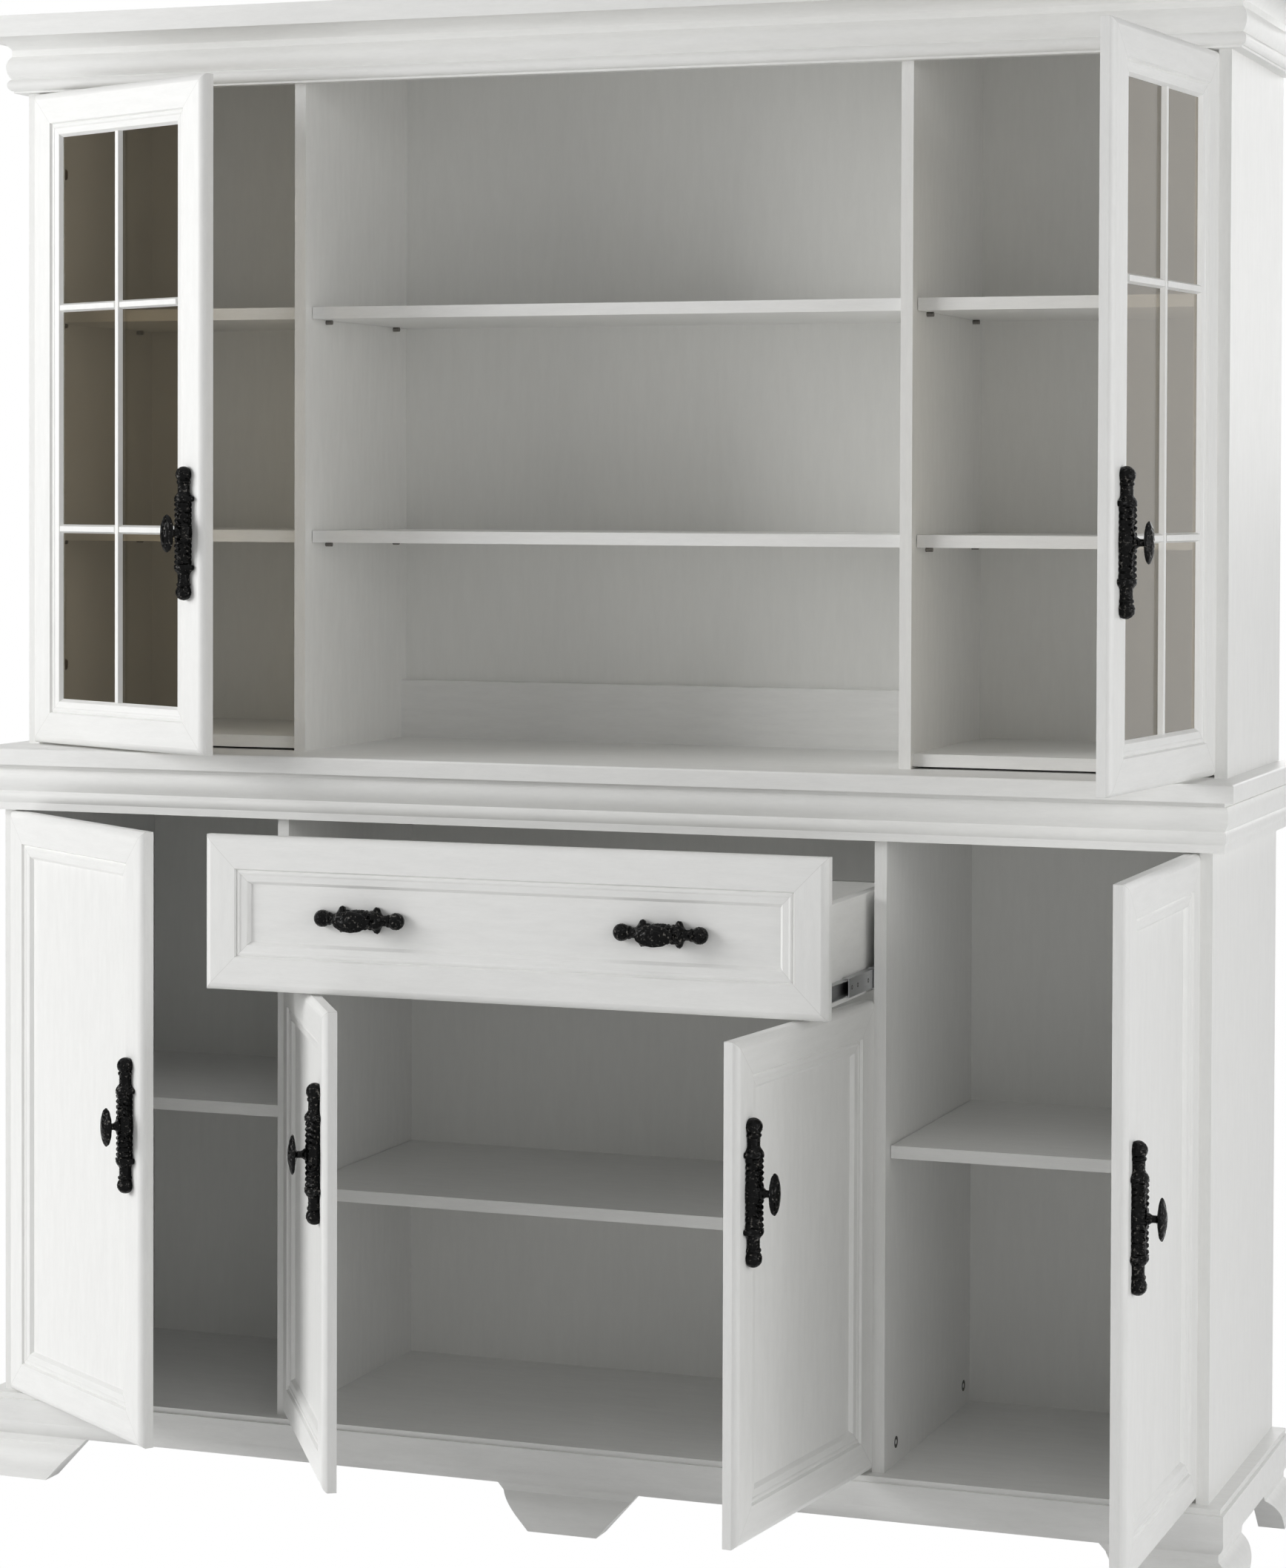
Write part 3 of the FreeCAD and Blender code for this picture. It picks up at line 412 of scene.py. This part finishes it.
def casting_surface(length, neck, stalk_radius, rings):
    """Cast bar: at height z the radius is the largest of ball, neck, bead, collar, shaft and boss.

    The shaft's rings carry six studs each, as a cosine round the bar that swells with the ring;
    two lugs stand out of each collar as flat-topped bell curves, and shallow hammer dents come
    from a product of sines. What would lie behind the face is pressed flat onto it.
    """
    half = length / 2
    even = np.linspace(-half, half, 321)
    denser_ends = half * np.sin(np.linspace(-np.pi / 2, np.pi / 2, 61))
    z = np.unique(np.concatenate([denser_ends, even]).round(6))[:, None]
    turn = around(BAR_COLUMNS)
    h = np.abs(z)
    ball_middle = half - BALL_RADIUS
    ball_start = ball_middle - math.sqrt(BALL_RADIUS ** 2 - BALL_FOOT_RADIUS ** 2)
    collar_middle = ball_start - neck - COLLAR_HALF
    collar_start = collar_middle - COLLAR_HALF
    inside = h < ball_middle
    ball = np.sqrt(np.maximum(BALL_RADIUS ** 2 - (h - ball_middle) ** 2, 0))
    bead = stalk_radius + BEAD_SWELL * bulge(h - ball_start + BEAD_BEFORE_BALL, BEAD_HALF)
    slope = np.clip((collar_middle + COLLAR_SLOPE - h) / COLLAR_SLOPE, 0, 1)
    collar = stalk_radius + (COLLAR_RADIUS - stalk_radius) * np.sin(slope * np.pi / 2) ** 1.4
    pitch = (collar_start - BOSS_HALF) / rings
    swell = RING_SWELL * np.abs(np.sin(np.pi * (h - BOSS_HALF) / pitch)) ** 0.6
    shaft = SHAFT_RADIUS + swell * (1 + 0.5 * np.cos(STUDS * turn + np.pi / 2))
    boss = BOSS_RADIUS + BOSS_SWELL * bulge(z, BOSS_HALF) * (1 + 0.12 * np.cos(STUDS * turn))
    radius = np.maximum.reduce(np.broadcast_arrays(
        ball, np.where(inside, bead, 0), np.where(inside & (h > collar_start), collar, 0),
        np.where(h < collar_middle, shaft, 0), np.where(h < BOSS_HALF, boss, 0)))
    for way in (LUG_TURN, np.pi - LUG_TURN):
        across = LUG_ARM * (np.mod(turn - way + np.pi, 2 * np.pi) - np.pi)
        apart = np.sqrt((h - collar_middle) ** 2 + across ** 2)
        radius = radius + (LUG_RADIUS - COLLAR_RADIUS) * np.exp(-(apart / LUG_SIZE) ** 4)
    dents = np.sin(z * 1.3 + 2 * np.sin(3 * turn)) * np.sin(5 * turn + 1.7 * np.sin(z * 0.6))
    radius = np.where(radius > 0.5, radius * (1 + DENT_SHARE * dents), radius)
    radius = np.maximum(radius, TIP_RADIUS)
    x = radius * np.cos(turn)
    y = np.minimum(radius * np.sin(turn) - AXIS_ABOVE_FACE, 0)
    points = np.stack([x, y, z * np.ones_like(turn)], -1).reshape(-1, 3)
    return points, grid_faces(len(z), BAR_COLUMNS)


# Meridian of the knob: distance from the face, short and long half axis, share of the scallops.
KNOB_LINE = [(16.8, 7.6, 7.6, 0), (18.6, 6.6, 6.6, 0), (21.6, 4.7, 4.7, 0), (25.0, 4.4, 4.4, 0),
             (27.6, 5.0, 5.4, 0), (29.4, 8.6, 14.5, 0.3), (31.0, 12.4, 22.6, 0.9),
             (32.6, 13.4, 24.8, 1.0), (34.2, 13.0, 24.2, 1.0), (35.6, 11.2, 20.8, 0.5),
             (36.6, 9.4, 17.4, 0.1), (36.5, 8.4, 15.6, 0), (37.6, 6.8, 12.6, 0),
             (38.6, 4.0, 7.4, 0), (39.0, 0.02, 0.04, 0)]


def knob_surface():
    """Oval knob: along its meridian the half axes grow from a round stem to the rim's oval.

    From the rim they shrink to nothing at the crest. Twelve shallow scallops run round the rim,
    fading towards the stem and the crest.
    """
    line = smooth_line(KNOB_LINE, KNOB_ROWS)
    turn = around(KNOB_COLUMNS)
    out, short, long, share = (line[:, k:k + 1] for k in range(4))
    scallop = 1 - 0.03 * share * (1 - np.abs(np.cos(6 * turn)))
    points = np.stack([short * np.cos(turn) * scallop, -out * np.ones_like(turn),
                       long * np.sin(turn) * scallop], -1)
    return points.reshape(-1, 3), turned_over(grid_faces(KNOB_ROWS, KNOB_COLUMNS))


def cast_handle(name, length, neck, stalk_radius, rings, places, body):
    """One piece of a casting with its knob at each place; a place moves points in metres."""
    bar, bar_faces = casting_surface(length, neck, stalk_radius, rings)
    oval, oval_faces = knob_surface()
    points = np.vstack([bar, oval]) / 1000
    faces = bar_faces + [[corner + len(bar) for corner in face] for face in oval_faces]
    return new_piece(name, *copies(points, faces, places), iron, "black_iron", body)


def on_door(door):
    """Place of a door's handle: its node, turned back to the closed door, gives middle and face."""
    pivot, _, opened = door_turn(door)
    closed = (mesh_points(nodes[door + "_handle"]) - pivot) @ opened
    low, high = closed.min(0), closed.max(0)
    spot = np.array([(low[0] + high[0]) / 2, high[1], (low[2] + high[2]) / 2])
    return lambda points: (points + spot) @ opened.T + pivot


for door in DOORS:
    handle = cast_handle(door + "_cast_handle", length=176.0, neck=20.5, stalk_radius=8.0, rings=4,
                         places=[on_door(door)], body=door)
    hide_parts(door + "_handle")

PULL_LENGTH = 123.0
lying_down = np.array([[0, 0, -1], [0, 1, 0], [1, 0, 0]])
low, high = map(np.array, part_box("drawer_pulls"))
pull_reach = high[0] - PULL_LENGTH / 2 / 1000
pull_spots = [np.array([side * pull_reach, high[1], (low[2] + high[2]) / 2]) for side in (-1, 1)]
pulls = cast_handle("drawer_cast_pulls", length=PULL_LENGTH, neck=15.2, stalk_radius=6.6, rings=1,
                    places=[lambda p, spot=spot: p @ lying_down + spot for spot in pull_spots],
                    body="drawer")
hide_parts("drawer_pulls")

# Small hardware: the shapes in millimetres, the distances on the dresser in metres.
CAM_RADIUS, CAM_DISH_RADIUS, CAM_ROOT, CAM_RIM = 7.5, 7.1, -0.6, 0.25
CAM_ROWS, CAM_COLUMNS = 16, 40
CAM_FROM_FRONT, CAM_FROM_BACK, CAM_FROM_BOTTOM = 0.052, 0.031, 0.0275
RIVET_SCALE = 0.4
RIVETS_FROM_FRONT = (0.012, 0.036, 0.080, 0.160)


def cam_surface():
    """Cam of a board connector: a disc about x with a flat rim, dished as a squared cosine."""
    reach = np.concatenate([[CAM_RADIUS] * 2, np.linspace(CAM_DISH_RADIUS, TIP_RADIUS, CAM_ROWS)])
    dish = 0.3 - 0.5 * np.cos(np.linspace(np.pi / 2, 0, CAM_ROWS)) ** 2
    lift = np.concatenate([[CAM_ROOT, CAM_RIM], dish])[:, None]
    turn = around(CAM_COLUMNS)
    points = np.stack([lift * np.ones_like(turn), reach[:, None] * np.cos(turn),
                       reach[:, None] * np.sin(turn)], -1) / 1000
    return points.reshape(-1, 3), grid_faces(len(reach), CAM_COLUMNS)


def zinc_pair(right_name, left_name, points, faces, slot, body):
    """A zinc piece on the right half of the dresser and its mirror image on the left."""
    new_piece(right_name, points, faces, cam_zinc, slot, body)
    new_piece(left_name, points * MIRRORED, turned_over(faces), cam_zinc, slot, body)


cam, cam_faces = cam_surface()
low, high = map(np.array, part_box("lower_dividers"))
cam_spots = [np.array([high[0], depth, low[2] + CAM_FROM_BOTTOM])
             for depth in (low[1] + CAM_FROM_FRONT, high[1] - CAM_FROM_BACK)]
zinc_pair("cams_of_right_divider", "cams_of_left_divider", *at_spots(cam, cam_faces, cam_spots),
          "pin_steel", "carcass")

# Rivet heads 6 mm across on the outer faces of the middle rails.
low, high = map(np.array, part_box("slide_middle_rails"))
rivet_spots = [np.array([high[0], low[1] + distance, (low[2] + high[2]) / 2])
               for distance in RIVETS_FROM_FRONT]
zinc_pair("slide_middle_rails_rivets_right", "slide_middle_rails_rivets_left",
          *at_spots(cam * RIVET_SCALE, cam_faces, rivet_spots), "slide_steel", "slide_middle")

CAP_HEIGHT, CAP_HALF_LENGTH, CAP_HALF_WIDTH, CAP_POWER = 9.5, 12.5, 8.0, 0.4
CAP_ROWS, CAP_COLUMNS, CAP_END_GAP = 25, 40, 0.0005
CAP_BESIDE_PIVOT, CAP_BEHIND_PIVOT, CAP_FROM_DOOR_END = 0.013, 0.0645, 0.104


def cap_surface():
    """Cover cap of a hinge arm: a pillow whose sections and length follow superellipses.

    With c and s for a cosine and a sine raised to 0.4 with their sign kept, its points are
    x = 9.5 c(v) c(t), pressed to the board where negative, y = 12.5 s(v) and z = 8 c(v) s(t), in
    millimetres. The angle v stops just short of the two ends.
    """
    def power(values):
        return np.sign(values) * np.abs(values) ** CAP_POWER

    limit = np.pi / 2 - CAP_END_GAP
    v = np.linspace(-limit, limit, CAP_ROWS)[:, None]
    t = around(CAP_COLUMNS)
    x = np.maximum(CAP_HEIGHT * power(np.cos(v)) * power(np.cos(t)), 0)
    y = CAP_HALF_LENGTH * power(np.sin(v)) * np.ones_like(t)
    z = CAP_HALF_WIDTH * power(np.cos(v)) * power(np.sin(t))
    points = np.stack([x, y, z], -1).reshape(-1, 3) / 1000
    return points, turned_over(grid_faces(CAP_ROWS, CAP_COLUMNS))


cap, cap_faces = cap_surface()
for door in DOORS:
    joint = door_joint(door)
    side = -joint["axis"][2]
    x = joint["pos_m"][0] - side * CAP_BESIDE_PIVOT
    y = joint["pos_m"][1] + CAP_BEHIND_PIVOT
    levels = mesh_points(nodes[door + "_frame"])[:, 2]
    spots = [np.array([x, y, level]) for level in (levels.min() + CAP_FROM_DOOR_END,
                                                   levels.max() - CAP_FROM_DOOR_END)]
    facing = np.array([side, 1, 1])
    outward = cap_faces if side > 0 else turned_over(cap_faces)
    new_piece(door + "_hinge_caps", *at_spots(cap * facing, outward, spots), bronze_steel,
              "hinge_steel", "carcass")


# Studio. Each lamp has a name, a place, a point it faces, a width, a height and a power in watts.
LAMPS = [("key_left", (-5.0, -2.6, 2.4), (0, 0, 1.0), 2.6, 2.6, 204),
         ("front_right", (3.6, -4.4, 2.2), (0, 0, 1.0), 2.6, 2.6, 11),
         ("side_right", (4.8, -0.7, 1.3), (0.6, 0, 0.8), 2.4, 2.0, 44),
         ("low_right", (4.8, -2.4, 1.8), (0.6, 0, 0.9), 2.4, 2.4, 44),
         ("low_front", (2.5, -5.0, 0.6), (0, 0, 0.6), 2.0, 1.1, 5),
         ("low_left", (-3.0, -3.0, 1.4), (0, 0, 0.8), 1.4, 1.4, 11),
         ("back_fill", (0.6, 5.2, 2.4), (0, 0, 1.0), 3.2, 2.2, 50),
         ("overhead", (0.0, -1.5, 5.0), (0, -0.2, 0), 4.0, 3.0, 24)]
for name, place, aim, width, height, power in LAMPS:
    data = bpy.data.lights.new(name, "AREA")
    data.shape, data.size, data.size_y, data.energy = "RECTANGLE", width, height, power
    lamp = bpy.data.objects.new(name, data)
    bpy.context.scene.collection.objects.link(lamp)
    facing = (Vector(aim) - Vector(place)).to_track_quat("-Z", "Y").to_matrix().to_4x4()
    lamp.matrix_world = Matrix.Translation(place) @ facing
    lamp.visible_camera = False


def seen_rays(tree):
    """One for rays that show the studio, straight, through glass or mirrored; nothing for light."""
    rays = add(tree, "ShaderNodeLightPath").outputs
    seen = add(tree, "ShaderNodeMath", {0: rays["Is Camera Ray"], 1: rays["Is Transmission Ray"]},
               operation="MAXIMUM")
    return add(tree, "ShaderNodeMath", {0: seen.outputs[0], 1: rays["Is Glossy Ray"]},
               operation="MAXIMUM").outputs[0]


def studio_sheet(name, corners, colour):
    """A flat matt sheet of the studio; gives the sheet, its node tree and its shader."""
    mesh = bpy.data.meshes.new(name)
    mesh.from_pydata(corners, [], [(0, 1, 2, 3)])
    sheet = bpy.data.objects.new(name, mesh)
    bpy.context.scene.collection.objects.link(sheet)
    material, tree, shader = new_material("studio_" + name)
    feed(tree, shader, {"Base Color": linear(colour), "Roughness": 0.9})
    paint(sheet, material)
    return sheet, tree, shader


WHITE = (1, 1, 1, 1)
FILL_LEVEL, SEEN_LEVEL = 0.065, 1.0
world = bpy.data.worlds.new("studio")
bpy.context.scene.world = world
world.use_nodes = True
tree = world.node_tree
tree.nodes.clear()
level = add(tree, "ShaderNodeMapRange",
            {"Value": seen_rays(tree), "To Min": FILL_LEVEL, "To Max": SEEN_LEVEL})
sky = add(tree, "ShaderNodeBackground", {"Color": WHITE, "Strength": level.outputs[0]})
add(tree, "ShaderNodeOutputWorld", {"Surface": sky.outputs[0]})

# The floor is plain white to the eye and takes light as a matt sheet.
floor, tree, shader = studio_sheet(
    "floor", [(-60, -20, 0), (60, -20, 0), (60, 100, 0), (-60, 100, 0)], "#F4F4F4")
glow = add(tree, "ShaderNodeEmission", {"Color": WHITE, "Strength": SEEN_LEVEL})
mixed = add(tree, "ShaderNodeMixShader",
            {0: seen_rays(tree), 1: shader.outputs[0], 2: glow.outputs[0]})
feed(tree, tree.nodes["Material Output"], {"Surface": mixed.outputs[0]})

# A dark card beside the dresser, seen only in reflections, keeps the left panes dark.
flag, _, _ = studio_sheet(
    "dark_flag", [(-4.2, -2.0, 0), (-4.2, 1.8, 0), (-4.2, 1.8, 3.4), (-4.2, -2.0, 3.4)], "#303030")
flag.visible_camera = flag.visible_diffuse = False
flag.visible_transmission = flag.visible_shadow = False

# The photograph's camera: size, focal length and principal point in pixels, angles in degrees.
IMAGE_WIDTH, IMAGE_HEIGHT = 1736, 2116
FOCAL_LENGTH, MIDDLE_X, MIDDLE_Y = 4994.03, 930.86, 769.15
SENSOR_WIDTH = 36.0
CAMERA_PLACE = (1.7622, -4.4345, 1.3446)
yaw, pitch, roll = map(math.radians, (19.836, 1.1906, 0.1977))
forward = Vector((-math.sin(yaw) * math.cos(pitch), math.cos(yaw) * math.cos(pitch),
                  -math.sin(pitch)))
level_right = Vector((math.cos(yaw), math.sin(yaw), 0))
level_up = level_right.cross(forward)
right = math.cos(roll) * level_right + math.sin(roll) * level_up
up = math.cos(roll) * level_up - math.sin(roll) * level_right
camera_data = bpy.data.cameras.new("camera")
camera_data.sensor_fit = "HORIZONTAL"
camera_data.sensor_width = SENSOR_WIDTH
camera_data.lens = FOCAL_LENGTH * SENSOR_WIDTH / IMAGE_WIDTH
camera_data.shift_x = (IMAGE_WIDTH / 2 - MIDDLE_X) / IMAGE_WIDTH
camera_data.shift_y = (MIDDLE_Y - IMAGE_HEIGHT / 2) / IMAGE_WIDTH
camera_data.clip_end = 300.0
camera = bpy.data.objects.new("camera", camera_data)
bpy.context.scene.collection.objects.link(camera)
axes = Matrix((right, up, -forward)).transposed().to_4x4()
camera.matrix_world = Matrix.Translation(CAMERA_PLACE) @ axes
bpy.context.scene.camera = camera
bpy.context.scene.view_settings.view_transform = "Standard"

bpy.context.view_layer.update()
